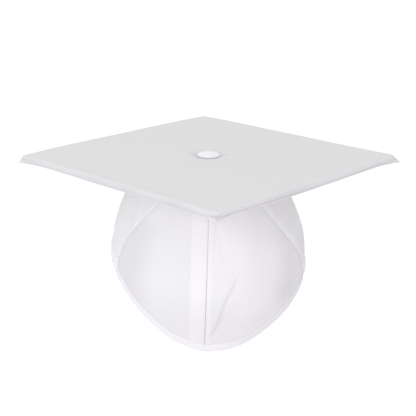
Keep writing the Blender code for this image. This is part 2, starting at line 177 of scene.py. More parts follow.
def relief(angle, z, t, back=False):
    """How far the cloth stands out from the plain crown surface, in metres."""
    arc = np.radians(angle) * 0.085
    d = 0.0005 * ripple(arc, z, 0.060, 11) * smooth(t, 0.0, 0.15)
    d = d + 0.00018 * ripple(arc, z * 0.5, 0.022, 12) * smooth(t, 0.02, 0.15)
    # the centre front and centre back seams sink between the turned-in allowances
    for which, left, right in ((0, STAY_LEFT, STAY_RIGHT), (2, 0.007, 0.007)):
        s = seam_distance(angle, z, t, which)
        d = d - 0.00052 * bell(s, 0.0011)
        wide = np.where(s < 0, left, right)
        d = d + 0.00032 * (1.0 - smooth(np.abs(s), wide - 0.0008, wide + 0.0012))
    for which in (1, -1):
        s = seam_distance(angle, z, t, which) * which
        d = d - 0.00006 * bell(s, 0.0018)
        d = d + 0.00014 * (1.0 - smooth(np.abs(s), 0.0060, 0.0085)) * (s > 0)
        # the cloth is a little fuller just in front of the seam than behind it
        d = d + 0.00040 * np.exp(-np.maximum(-s, 0) / 0.010) * (s <= 0) * smooth(-s, 0.0, 0.004) * smooth(t, 0.05, 0.3)
        # the wider back panel is eased into the front one: fine folds that run down it
        eased = smooth(s, 0.004, 0.014) * (1.0 - smooth(s, 0.030, 0.060)) * smooth(t, 0.15, 0.45)
        d = d + 0.00017 * np.sin(arc / 0.0036 * 2 * math.pi + 2.0 * ripple(arc, z * 0.4, 0.05, 21)) * eased
    wrapped = (np.asarray(angle, float) + 180.0) % 360.0 - 180.0
    d = d + 0.0026 * bell(wrapped - 82.0, 34.0) * bell(z - 0.040, 0.026)
    d = d + 0.0018 * bell(wrapped + 78.0, 30.0) * (bell(z - 0.056, 0.020) - 0.5 * bell(z - 0.018, 0.014))
    # right of the centre seam the cloth rises out of the seam
    s = seam_distance(angle, z, t, 0)
    d = d + 0.0008 * (1 - np.exp(-np.maximum(s, 0) / 0.022)) * np.exp(-np.maximum(s, 0) / 0.050) * smooth(t, 0.05, 0.3) * (1 - smooth(t, 0.75, 0.97))
    for crease in CREASES:
        dist, side, share = line_distance(angle, z, crease["points"])
        along = smooth(share, 0.0, crease.get("rise", 0.06)) * (1.0 - smooth(share, crease["fade"], 1.0))
        d = d - crease["sharp"] * bell(dist, crease["width"]) * along
        d = d + crease["lift"] * np.exp(-dist / crease["spread"]) * (side > 0) * along * smooth(dist, 0.0, 0.003)
    # small slanting puckers where the binding is sewn on, right of the point
    above = z - hem(angle)
    d = d + 0.00017 * np.sin((arc / 0.0046 - above / 0.012) * 2 * math.pi + 1.5 * ripple(arc, 0 * arc, 0.03, 51)) * np.exp(-np.maximum(above, 0) / 0.008) * bell(wrapped - 42.0, 22.0)
    # small puckers where the cloth is sewn to the board
    d = d + 0.00025 * np.sin(arc / 0.0060 * 2 * math.pi + 2.0 * ripple(arc, 0 * arc, 0.05, 31)) * np.exp(-np.maximum(CROWN_TOP - z, 0) / 0.006) * smooth(t, 0.0, 0.02)
    return d


def gathers(angle, z, t):
    """The back is drawn in by the elastic: folds that fade out up the cloth."""
    wrapped = np.abs((np.asarray(angle, float) + 180.0) % 360.0 - 180.0)
    where = smooth(wrapped, RIGHT_HEM + 1.0, RIGHT_HEM + 20.0)
    arc = np.radians(angle) * 0.090
    rise = (z - hem(angle))
    wander = 0.9 * ripple(arc, rise * 0.6, 0.060, 41) + 0.5 * ripple(arc, rise * 0.3, 0.021, 42)
    size = 0.55 + 0.45 * ripple(arc, rise * 0.25, 0.034, 43)
    fine = np.sin(arc / 0.0078 * 2 * math.pi + 3.2 * wander)
    broad = np.sin(arc / 0.0165 * 2 * math.pi + 2.1 * wander + 1.0)
    d = 0.00115 * fine * np.exp(-np.maximum(rise, 0) / 0.018) * size
    d = d + 0.00120 * broad * np.exp(-np.maximum(rise, 0) / 0.042) * (0.4 + 0.6 * size)
    return d * where


# ============================================================ mesh building
def make_mesh(name, points, faces, uv=None, attributes=None, smooth_shade=True):
    mesh = bpy.data.meshes.new(name)
    mesh.from_pydata(points.reshape(-1, 3).tolist(), [], faces)
    if uv is not None:
        layer = mesh.uv_layers.new(name="UVMap")
        index = np.zeros(len(mesh.loops), np.int32)
        mesh.loops.foreach_get("vertex_index", index)
        layer.data.foreach_set("uv", uv.reshape(-1, 2)[index].astype(np.float32).ravel())
    attributes = dict(attributes or {})
    for key in ("doubled_and_highlight", "shade"):
        attributes.setdefault(key, np.zeros(points.reshape(-1, 3).shape[0]))
    for key, values in attributes.items():
        made = mesh.attributes.new(key, "FLOAT", "POINT")
        made.data.foreach_set("value", np.asarray(values, np.float32).ravel())
    mesh.validate()
    if smooth_shade:
        mesh.shade_smooth()
    obj = bpy.data.objects.new(name, mesh)
    bpy.context.scene.collection.objects.link(obj)
    return obj


def grid_normals(p, wrap):
    """Outward normals of a grid of points whose rows run down and columns run round."""
    if wrap:
        across = np.roll(p, -1, 1) - np.roll(p, 1, 1)
    else:
        across = np.gradient(p, axis=1)
    down = np.gradient(p, axis=0)
    n = np.cross(down, across)
    return n / np.maximum(np.linalg.norm(n, axis=-1, keepdims=True), 1e-12)


def shell(name, p, uv, thick, wrap=False, attributes=None, normals=None):
    """A closed sheet of cloth: the outer surface through a grid of points, an inner
    surface a thickness behind it, and the edges between them."""
    rows, cols = p.shape[:2]
    n = grid_normals(p, wrap) if normals is None else normals
    inner = p - n * thick
    points = np.concatenate([p.reshape(-1, 3), inner.reshape(-1, 3)])
    uvs = np.concatenate([uv.reshape(-1, 2)] * 2)
    k = rows * cols
    idx = np.arange(k).reshape(rows, cols)
    faces = []
    last = cols if wrap else cols - 1
    a = idx[:-1, :last]
    b = idx[1:, :last]
    c = np.roll(idx, -1, 1)[1:, :last]
    d = np.roll(idx, -1, 1)[:-1, :last]
    outer = np.stack([a, b, c, d], -1).reshape(-1, 4)
    faces += outer.tolist()
    faces += (outer[:, ::-1] + k).tolist()
    for row, flip in ((0, False), (rows - 1, True)):
        for j in range(last):
            x, y = idx[row, j], idx[row, (j + 1) % cols]
            quad = [x, y, y + k, x + k]
            faces.append(([int(v) for v in quad[::-1]]) if flip else [int(v) for v in quad])
    if not wrap:
        for col, flip in ((0, True), (cols - 1, False)):
            for i in range(rows - 1):
                x, y = idx[i, col], idx[i + 1, col]
                quad = [x, y, y + k, x + k]
                faces.append(([int(v) for v in quad[::-1]]) if flip else [int(v) for v in quad])
    extra = {key: np.concatenate([v.ravel(), v.ravel()]) for key, v in (attributes or {}).items()}
    return make_mesh(name, points, faces, uvs, extra)


# ============================================================ materials
class Nodes:
    """Short names for the nodes that the materials are built from."""

    def __init__(self, name):
        self.mat = bpy.data.materials.new(name)
        self.mat.use_nodes = True
        self.tree = self.mat.node_tree
        self.shader = self.tree.nodes["Principled BSDF"]

    def node(self, kind, **settings):
        n = self.tree.nodes.new(kind)
        for key, value in settings.items():
            setattr(n, key, value)
        return n

    def link(self, a, b):
        self.tree.links.new(a, b)

    def value(self, socket, value):
        if isinstance(value, (int, float)):
            socket.default_value = value
        else:
            self.link(value, socket)

    def math(self, operation, a, b=0.0, c=None, clamp=False):
        n = self.node("ShaderNodeMath", operation=operation, use_clamp=clamp)
        self.value(n.inputs[0], a)
        self.value(n.inputs[1], b)
        if c is not None:
            self.value(n.inputs[2], c)
        return n.outputs[0]

    def mix(self, factor, a, b):
        n = self.node("ShaderNodeMix", data_type="RGBA")
        self.value(n.inputs[0], factor)
        for socket, colour in ((n.inputs[6], a), (n.inputs[7], b)):
            if isinstance(colour, tuple):
                socket.default_value = (*colour, 1.0)
            else:
                self.link(colour, socket)
        return n.outputs[2]

    def noise(self, vector, scale, detail=3.0, rough=0.55):
        n = self.node("ShaderNodeTexNoise")
        n.inputs["Scale"].default_value = scale
        n.inputs["Detail"].default_value = detail
        n.inputs["Roughness"].default_value = rough
        if vector is not None:
            self.link(vector, n.inputs["Vector"])
        return n.outputs["Fac"]

    def ramp(self, factor, low, high):
        n = self.node("ShaderNodeMapRange")
        self.value(n.inputs["Value"], factor)
        n.inputs["From Min"].default_value = low
        n.inputs["From Max"].default_value = high
        return n.outputs["Result"]

    def uv(self):
        return self.node("ShaderNodeUVMap", uv_map="UVMap").outputs["UV"]

    def place(self):
        return self.node("ShaderNodeTexCoord").outputs["Object"]

    def attribute(self, name):
        return self.node("ShaderNodeAttribute", attribute_name=name).outputs["Fac"]

    def bump(self, height, strength, distance, normal=None):
        n = self.node("ShaderNodeBump")
        n.inputs["Strength"].default_value = strength
        n.inputs["Distance"].default_value = distance
        self.link(height, n.inputs["Height"])
        if normal is not None:
            self.link(normal, n.inputs["Normal"])
        return n.outputs["Normal"]


def cloth_material(name, single, double_and_highlight, thread=0.00034, weave=0.35, roughness=0.78, sheen=0.18, soil=0.02, twill=0.0):
    """Plain-weave polyester: two thread directions over and under each other, slubs,
    a faint unevenness of tone, a lighter tone for two layers and for painted highlights, and painted shade."""
    m = Nodes(name)
    uv = m.uv()
    sep = m.node("ShaderNodeSeparateXYZ")
    m.link(uv, sep.inputs[0])
    u, v = sep.outputs[0], sep.outputs[1]
    turn = 2 * math.pi / (2 * thread)
    lean = m.math("MULTIPLY", v, twill)
    warp = m.math("SINE", m.math("MULTIPLY", m.math("ADD", u, lean), turn))
    weft = m.math("SINE", m.math("MULTIPLY", v, turn))
    over = m.math("MULTIPLY", warp, weft)
    fine = m.math("MULTIPLY", m.math("ABSOLUTE", warp), 0.5)
    fine = m.math("ADD", fine, m.math("MULTIPLY", m.math("ABSOLUTE", weft), 0.5))
    slub = m.noise(m.place(), 900.0, 2.0)
    height = m.math("ADD", m.math("MULTIPLY", over, 0.5), fine)
    height = m.math("ADD", height, m.math("MULTIPLY", slub, 0.8))
    first = m.bump(height, weave, 0.00006)
    soft = m.noise(m.place(), 60.0, 3.0)
    m.link(m.bump(soft, 0.25, 0.0006, first), m.shader.inputs["Normal"])
    tone = m.ramp(m.noise(m.place(), 14.0, 4.0), 0.3, 0.7)
    darker = tuple(c * (1.0 - soil) for c in single)
    base = m.mix(tone, darker, single)
    # a lighter tone where the cloth lies in two layers, and painted highlights
    base = m.mix(m.attribute("doubled_and_highlight"), base, double_and_highlight)
    grain = m.ramp(over, -1.0, 1.0)
    base = m.mix(m.math("MULTIPLY", grain, 0.12), base, tuple(c * 0.93 for c in single))
    # painted shade: where the shade attribute is set, the colour goes towards a darker copy tinted a little lavender
    base = m.mix(m.attribute("shade"), base, tuple(c * SHADED * k for c, k in zip(single, (1.0, 0.985, 1.035))))
    m.link(base, m.shader.inputs["Base Color"])
    rough = m.math("ADD", m.math("MULTIPLY", tone, 0.06), roughness - 0.03)
    m.link(rough, m.shader.inputs["Roughness"])
    m.shader.inputs["Sheen Weight"].default_value = sheen
    m.shader.inputs["Sheen Roughness"].default_value = 0.45
    m.shader.inputs["Specular IOR Level"].default_value = 0.25
    return m.mat


def thread_material(name, colour):
    m = Nodes(name)
    sep = m.node("ShaderNodeSeparateXYZ")
    m.link(m.uv(), sep.inputs[0])
    ply = m.math("SINE", m.math("ADD", m.math("MULTIPLY", sep.outputs[0], 9000.0), m.math("MULTIPLY", sep.outputs[1], 6.28318 * 2)))
    m.link(m.bump(ply, 0.5, 0.00008), m.shader.inputs["Normal"])
    m.link(m.mix(m.ramp(ply, -1, 1), tuple(c * 0.90 for c in colour), colour), m.shader.inputs["Base Color"])
    m.shader.inputs["Roughness"].default_value = 0.45
    m.shader.inputs["Sheen Weight"].default_value = 0.2
    return m.mat


def knit_material(name, colour):
    """Woven elastic: raised ribs along the band, crossed by fine picks."""
    m = Nodes(name)
    sep = m.node("ShaderNodeSeparateXYZ")
    m.link(m.uv(), sep.inputs[0])
    rib = m.math("SINE", m.math("MULTIPLY", sep.outputs[1], 2 * math.pi / 0.0011))
    pick = m.math("SINE", m.math("MULTIPLY", sep.outputs[0], 2 * math.pi / 0.0006))
    height = m.math("ADD", rib, m.math("MULTIPLY", pick, 0.4))
    m.link(m.bump(height, 0.6, 0.0001), m.shader.inputs["Normal"])
    m.link(m.mix(m.ramp(rib, -1, 1), tuple(c * 0.86 for c in colour), colour), m.shader.inputs["Base Color"])
    m.shader.inputs["Roughness"].default_value = 0.6
    return m.mat


def metal_material(name, colour, roughness):
    """Pressed metal: fine drawing marks, with duller, slightly stained patches."""
    m = Nodes(name)
    stretch = m.node("ShaderNodeMapping")
    stretch.inputs["Scale"].default_value = (1.0, 1.0, 14.0)
    m.link(m.place(), stretch.inputs["Vector"])
    marks = m.noise(stretch.outputs[0], 700.0, 4.0)
    patch = m.ramp(m.noise(m.place(), 160.0, 3.0), 0.35, 0.7)
    m.link(m.bump(marks, 0.2, 0.00005), m.shader.inputs["Normal"])
    m.link(m.mix(patch, tuple(c * 0.8 for c in colour), colour), m.shader.inputs["Base Color"])
    rough = m.math("ADD", m.math("MULTIPLY", marks, 0.15), m.math("ADD", m.math("MULTIPLY", patch, -0.08), roughness))
    m.link(rough, m.shader.inputs["Roughness"])
    m.shader.inputs["Metallic"].default_value = 1.0
    return m.mat


def card_material(name, colour):
    """Greyboard: pressed fibres and small dark flecks."""
    m = Nodes(name)
    fibre = m.noise(m.place(), 420.0, 6.0, 0.7)
    fleck = m.ramp(m.noise(m.place(), 1500.0, 1.0), 0.62, 0.72)
    base = m.mix(m.ramp(fibre, 0.3, 0.7), tuple(c * 0.88 for c in colour), colour)
    base = m.mix(m.math("MULTIPLY", fleck, 0.5), base, tuple(c * 0.55 for c in colour))
    m.link(base, m.shader.inputs["Base Color"])
    m.link(m.bump(fibre, 0.4, 0.00015), m.shader.inputs["Normal"])
    m.shader.inputs["Roughness"].default_value = 0.9
    return m.mat


def plastic_material(name, colour):
    m = Nodes(name)
    grain = m.noise(m.place(), 900.0, 3.0)
    m.link(m.bump(grain, 0.25, 0.00006), m.shader.inputs["Normal"])
    m.link(m.mix(m.ramp(m.noise(m.place(), 120.0, 3.0), 0.3, 0.7), tuple(c * 0.95 for c in colour), colour), m.shader.inputs["Base Color"])
    m.link(m.math("ADD", m.math("MULTIPLY", grain, 0.12), 0.42), m.shader.inputs["Roughness"])
    return m.mat


SHADED = 0.74              # tone of the painted shade, against the cloth's own tone
SINGLE = (0.660, 0.650, 0.671)
# the lighter tone of cloth in two layers, also used for painted highlights
DOUBLE_AND_HIGHLIGHT = (0.703, 0.690, 0.722)
crown_cloth = cloth_material("crown_cloth", SINGLE, DOUBLE_AND_HIGHLIGHT)
back_cloth = cloth_material("back_cloth", SINGLE, DOUBLE_AND_HIGHLIGHT)
hem_cloth = cloth_material("hem_cloth", (0.676, 0.660, 0.694), DOUBLE_AND_HIGHLIGHT, thread=0.00030)
board_cloth = cloth_material("board_cloth", (0.652, 0.643, 0.654), DOUBLE_AND_HIGHLIGHT, soil=0.012)
under_cloth = cloth_material("under_cloth", (0.655, 0.650, 0.662), DOUBLE_AND_HIGHLIGHT)
button_cloth = cloth_material("button_cloth", (0.77, 0.76, 0.79), DOUBLE_AND_HIGHLIGHT, roughness=0.34, sheen=0.3)
tape_cloth = cloth_material("tape_cloth", (0.78, 0.77, 0.79), DOUBLE_AND_HIGHLIGHT, thread=0.00045, twill=1.0, weave=0.6)
label_cloth = cloth_material("label_cloth", (0.80, 0.80, 0.80), DOUBLE_AND_HIGHLIGHT, thread=0.00022, roughness=0.4, sheen=0.05)
thread_look = thread_material("thread", (0.86, 0.85, 0.88))
knit_look = knit_material("elastic_knit", (0.74, 0.74, 0.75))
steel_look = metal_material("tinned_steel", (0.70, 0.70, 0.71), 0.32)
brass_look = metal_material("rolled_brass", (0.72, 0.58, 0.30), 0.28)
card_look = card_material("greyboard", (0.46, 0.43, 0.38))
washer_look = plastic_material("washer_plastic", (0.66, 0.66, 0.63))


def dress(obj, mat):
    obj.data.materials.clear()
    obj.data.materials.append(mat)


for node, look in (
    ("board_core", card_look), ("button_washer", washer_look), ("button_shell", steel_look),
    ("button_back_plate", steel_look), ("button_prong", brass_look),
):
    dress(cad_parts[node], look)


def on_crown(obj, mat, slot_name, *nodes):
    dress(obj, mat)
    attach(obj, "crown")
    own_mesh(obj)
    if nodes:
        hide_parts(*nodes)
    return obj


def on_board(obj, mat, slot_name, *nodes):
    dress(obj, mat)
    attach(obj, "board")
    if nodes:
        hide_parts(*nodes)
    return obj


# ============================================================ board covers
def turned(p, side):
    a = math.radians(45 + 90 * side)
    c, s = math.cos(a), math.sin(a)
    return np.stack([p[..., 0] * c - p[..., 1] * s, p[..., 0] * s + p[..., 1] * c], -1)


# how far each side's lower seam rides up (+) or sags (-), and its upper edge bows up,
# for the front-right, back-right, back-left and front-left sides
SEAM_RISE = (-0.0014, 0.0, -0.0001, -0.0003)
EDGE_BOW = (0.0, -0.0003, -0.0004, 0.0)
# the painted shade on each side's wall, in the same order
SIDE_SHADE = (0.60, 0.60, 0.60, 0.66)
# the right, back, left and front corners: reach and droop of the ear, and how far the
# corner itself is pulled out and down
EARS = (0.0030, 0.0015, 0.0012, 0.0018)
EAR_DROOPS = (0.0024, 0.0014, 0.0012, 0.0010)
EAR_LIFTS = (0.0012, 0.0, 0.0, 0.0)
CORNER_OUT = (0.0018, 0.0, 0.0, 0.0)
CORNER_DOWN = (0.0, 0.0010, 0.0012, 0.0)
DROOP_LENGTH = 0.024


def settle(xy, z):
    """The corners of the padded cloth, pulled out and down from the square."""
    z = np.broadcast_to(z, xy.shape[:1]).copy()
    xy = xy.copy()
    for corner, direction in enumerate(((1, 0), (0, 1), (-1, 0), (0, -1))):
        reach = xy @ np.array(direction, float)
        w = smooth(reach, 0.118, HALF * math.sqrt(2)) ** 2
        xy += w[:, None] * CORNER_OUT[corner] * np.array(direction, float)
        z -= w * CORNER_DOWN[corner]
    return xy, z


def outline():
    """The board's rim: for each point round it, the upper outline, the lower eared
    outline, the outward direction, the rise of the seam and the edge, the painted shade of the wall, and how far into
    an ear the point lies."""
    top, low, out, rise, bow, shade, near = [], [], [], [], [], [], []
    n_side, n_arc = 84, 8
    flat = HALF - CORNER
    s = np.sin(np.linspace(-1, 1, n_side) * math.pi / 2) * 0.5 + np.linspace(-1, 1, n_side) * 0.5
    for side in range(4):
        along = s * flat
        past = np.maximum(0.0, np.abs(along) - (HALF - EAR_LENGTH)) / EAR_LENGTH
        p = np.stack([along, np.full(n_side, -HALF)], -1)
        # a side runs from the corner before it to the corner after it
        ear = np.where(along > 0, EARS[side], EARS[side - 1])
        droop = np.where(along > 0, EAR_DROOPS[side], EAR_DROOPS[side - 1])
        q = np.stack([along, -(HALF + SEAM_LIP + ear * past ** 2)], -1)
        d = np.stack([0 * along, 0 * along - 1.0], -1)
        bump_ = np.clip(1.0 - (along / (HALF - 0.012)) ** 2, 0, 1)
        wave = ripple(along, 0 * along + side, 0.05, 50 + side)
        top.append(turned(p, side)); low.append(turned(q, side)); out.append(turned(d, side))
        rise.append(SEAM_RISE[side] * bump_ + 0.00022 * wave * bump_)
        rise[-1] = rise[-1] + np.where(along > 0, EAR_LIFTS[side], EAR_LIFTS[side - 1]) * smooth(np.abs(along), HALF - 0.014, HALF)
        rise[-1] = rise[-1] - droop * np.maximum(0.0, (np.abs(along) - (HALF - DROOP_LENGTH)) / DROOP_LENGTH) ** 1.2
        bow.append(EDGE_BOW[side] * bump_ + 0.00018 * ripple(along, 0 * along, 0.09, 60 + side) * bump_)
        # painted shade along the wall: uneven along the side, and blended into the next side's at the corners
        tone = SIDE_SHADE[side] * (1.0 + 0.25 * ripple(along, 0 * along, 0.06, 64 + side))
        ends = SIDE_SHADE[side - 1] * (along < 0) + SIDE_SHADE[(side + 1) % 4] * (along > 0)
        mixed = smooth(np.abs(along), HALF - 0.012, HALF - 0.002) * 0.5
        shade.append(tone * (1 - mixed) + ends * mixed)
        near.append(past)
        # the corner after this side
        phi = np.linspace(0, math.pi / 2, n_arc + 2)[1:-1]
        centre = np.array([flat, -flat])
        direction = np.stack([np.sin(phi), -np.cos(phi)], -1)
        p = centre + CORNER * direction
        tip = (HALF + EARS[side] + SEAM_LIP) * np.array([1.0, -1.0])
        first, second = q[-1], np.array([-q[-1][1], -q[-1][0]])
        t = phi / (math.pi / 2)
        straight = np.where((t < 0.5)[:, None], first + (tip - first) * (t / 0.5)[:, None], tip + (second - tip) * ((t - 0.5) / 0.5)[:, None])
        top.append(turned(p, side)); low.append(turned(straight, side)); out.append(turned(direction, side))
        rise.append(0 * t - EAR_DROOPS[side] + EAR_LIFTS[side]); bow.append(0 * t)
        shade.append(0 * t + (SIDE_SHADE[side] + SIDE_SHADE[(side + 1) % 4]) / 2)
        near.append(0 * t + 1.0)
    return [np.concatenate(x) for x in (top, low, out, rise, bow, shade, near)]


RIM_TOP, RIM_LOW, RIM_OUT, RIM_RISE, RIM_BOW, RIM_SHADE, RIM_NEAR = outline()
SEAM_Z = UNDER_BOTTOM + 0.00045
PUFF = 0.0011
DENT = BOARD_TOP - BUTTON_LOW + 0.0003


def board_local(xy):
    a = math.radians(-45)
    c, s = math.cos(a), math.sin(a)
    return xy[..., 0] * c - xy[..., 1] * s, xy[..., 0] * s + xy[..., 1] * c


def top_height(xy, bow):
    """Height of the upper cover over the board's flat top."""
    s, t = board_local(xy)
    rho = np.hypot(xy[..., 0], xy[..., 1])
    edge = np.minimum(HALF - np.abs(s), HALF - np.abs(t))
    puff = PUFF * (1 - np.clip(np.abs(s) / HALF, 0, 1) ** 4) * (1 - np.clip(np.abs(t) / HALF, 0, 1) ** 4)
    puff = puff + 0.00022 * ripple(s, t, 0.110, 71) * smooth(edge, 0.0, 0.03)
    near = smooth(-xy[..., 1], -0.03, 0.03)
    ridge = 0.00040 * near * smooth(edge, 0.0, 0.0014) * (1 - smooth(edge, 0.0032, 0.0062))
    angle = np.arctan2(xy[..., 0], -xy[..., 1])
    draw = smooth(rho, 0.0104, 0.0104 + 0.0125 + 0.0035 * np.cos(2 * angle + 0.3))
    z = -DENT + (puff + DENT) * draw + ridge
    # a short hollow to each side of the button, where the cloth is pulled across
    pull = bell(xy[..., 1] - 0.0008, 0.0022) * smooth(np.abs(xy[..., 0]), 0.0105, 0.0135) * (1 - smooth(np.abs(xy[..., 0]), 0.0150, 0.0230))
    z = z - 0.00055 * pull
    # cloth drawn in round the button: short folds to the sides, fine ripples in front
    folds = np.sin(13 * angle + 2.0 * np.sin(3 * angle + 1)) * bell(rho - 0.0140, 0.0035) * 0.00016
    front = bell(xy[..., 0] - 0.001, 0.014) * smooth(-xy[..., 1], 0.013, 0.017) * (1 - smooth(-xy[..., 1], 0.026, 0.040))
    ripples = 0.00030 * np.sin((-xy[..., 1] + 0.002 * ripple(xy[..., 0], 0 * rho, 0.02, 72)) / 0.0058 * 2 * math.pi) * front
    return z + (folds + ripples) * smooth(rho, 0.0105, 0.0125) + bow * (1 - smooth(edge, 0.0, 0.05))


def build_top_cover():
    rows, n = [], len(RIM_TOP)
    uv = []
    seam_z = SEAM_Z + RIM_RISE
    shoulder = 0.0013
    top_z = BOARD_TOP + RIM_BOW

    shade = []

    def add(xy, z, dark=0.0):
        xy, z = settle(xy, z)
        rows.append(np.concatenate([xy, z[:, None]], 1))
        s, t = board_local(xy)
        uv.append(np.stack([s, t + (BOARD_TOP - np.broadcast_to(z, (n,))) * 0.7], -1))
        shade.append(np.broadcast_to(dark, (n,)) * 1.0)

    ear = RIM_LOW - RIM_TOP
    wall_top = top_z - shoulder
    # painted shade on the seam lip, from RIM_SHADE
    add(RIM_LOW + RIM_OUT * 0.0004, seam_z, 0.15 * RIM_SHADE)
    add(RIM_LOW + RIM_OUT * 0.0003, seam_z + 0.00026, 0.25 * RIM_SHADE)
    for f in np.linspace(0.07, 1.0, 14):
        # the wall tucks in over the seam and bulges out under the board's edge
        groove = -0.00035 * math.exp(-((f - 0.26) / 0.16) ** 2)
        bulge = 0.00035 * math.sin(math.pi * min(1.0, max(0.0, (f - 0.35) / 0.65))) ** 1.0
        flare = (1 - f) ** (1.35 - 0.30 * RIM_NEAR)
        # painted shade on the wall: on the left-hand sides (x < 0) heavier and easing off in the groove over the seam,
        # on the others lighter and deepest in that groove; a dark wedge at each ear's root, lighter low on the ear
        lit = RIM_TOP[:, 0] < 0
        dark = RIM_SHADE * np.where(lit, 0.85 - 0.35 * math.exp(-((f - 0.20) / 0.20) ** 2), 0.62 + 0.38 * math.exp(-((f - 0.24) / 0.20) ** 2))
        root = RIM_NEAR ** 2 * math.exp(-((f - 0.62) / 0.20) ** 2)
        dark = dark + 0.9 * RIM_SHADE * root - 0.35 * RIM_NEAR ** 2 * math.exp(-((f - 0.15) / 0.2) ** 2)
        inward = (groove + bulge) * (1 - 0.8 * RIM_NEAR) - 0.00012 * root
        add(RIM_TOP + ear * flare[:, None] + RIM_OUT * inward[:, None], seam_z + (wall_top - seam_z) * f, dark)
    # painted shade on the shoulder, heavier on the left-hand sides (x < 0), fading towards the top
    for phi in np.linspace(0, 90, 7)[1:]:
        c, s = math.cos(math.radians(phi)), math.sin(math.radians(phi))
        add(RIM_TOP - RIM_OUT * shoulder * (1 - c), wall_top + shoulder * s, RIM_SHADE * np.where(RIM_TOP[:, 0] < 0, 0.72, 0.40) * (1 - phi / 90) ** 0.8)
    # painted shade in the short hollows to each side of the button
    def hollow_shade(xy):
        side = bell(xy[:, 1] - 0.0006, 0.0026) * smooth(np.abs(xy[:, 0]), 0.0095, 0.0115) * (1 - smooth(np.abs(xy[:, 0]), 0.0135, 0.0215))
        return 0.42 * side

    inset = np.concatenate([
        np.array([0.0018, 0.0024, 0.0031, 0.0039, 0.0049, 0.0062, 0.0080, 0.0105]),
        np.linspace(0.014, 0.085, 20), np.linspace(0.087, 0.1035, 18), np.linspace(0.1043, 0.1135, 14), np.array([0.1155, 0.1172]),
    ])
    unit = RIM_TOP / np.linalg.norm(RIM_TOP, axis=1, keepdims=True)
    for d in inset:
        k = 1.0 - d / HALF
        c = 1.0 - float(smooth(k, 0.12, 0.55))
        xy = RIM_TOP * k * (1 - c) + unit * HALF * k * c
        xy = xy.copy()
        add(xy, BOARD_TOP + top_height(xy, RIM_BOW), hollow_shade(xy))
    p = np.stack(rows)
    obj = shell("board_top_cloth", p, np.stack(uv), CLOTH, wrap=True,
                attributes={"doubled_and_highlight": np.zeros(p.shape[:2]), "shade": np.stack(shade)})
    return on_board(obj, board_cloth, "board_cloth", "board_top_cover")


build_top_cover()


def build_under_cover():
    n = len(RIM_LOW)
    rows, uv = [], []
    unit = RIM_TOP / np.linalg.norm(RIM_TOP, axis=1, keepdims=True)
    seam_z = SEAM_Z + RIM_RISE - 0.00004

    def add(xy, z):
        xy, z = settle(xy, z)
        rows.append(np.concatenate([xy, z[:, None]], 1))
        uv.append(np.stack(board_local(xy), -1))

    add(RIM_LOW + RIM_OUT * 0.00045, seam_z)
    add(RIM_LOW + RIM_OUT * 0.0002, seam_z - 0.00028)
    last = 0.054 / HALF
    for share in np.concatenate([np.linspace(0.0, 0.12, 7)[1:], np.linspace(0.16, 1.0, 46)]):
        k = 1.0 - (1.0 - last) * share
        c = float(smooth(share, 0.35, 0.95))
        base = RIM_LOW * (1 - smooth(share, 0, 0.12)) + RIM_TOP * smooth(share, 0, 0.12)
        xy = base * k * (1 - c) + unit * HALF * k * c
        rho = np.hypot(xy[:, 0], xy[:, 1])
        s, t = board_local(xy)
        edge = np.minimum(HALF - np.abs(s), HALF - np.abs(t))
        sag = -0.00045 * smooth(edge, 0.0, 0.03) * smooth(rho, 0.070, 0.085)
        sag = sag + 0.00016 * ripple(s, t, 0.070, 81) * smooth(rho, 0.070, 0.085) * smooth(edge, 0.0, 0.02)
        angle = np.arctan2(xy[:, 0], xy[:, 1])
        pucker = 0.00014 * np.sin(60 * angle + 2 * np.sin(7 * angle)) * bell(rho - 0.071, 0.005)
        rise = (RIM_RISE - 0.0) * (1 - smooth(edge, 0.0005, 0.0028))
        z = UNDER_BOTTOM + np.minimum(sag + pucker, 0.0) + rise - 0.00003
        add(xy, z)
    p = np.stack(rows)
    obj = shell("board_under_cloth", p, np.stack(uv), CLOTH * 0.8, wrap=True, attributes={"doubled_and_highlight": np.zeros(p.shape[:2])})
    return on_board(obj, under_cloth, "under_cloth", "board_underside_cover")


build_under_cover()


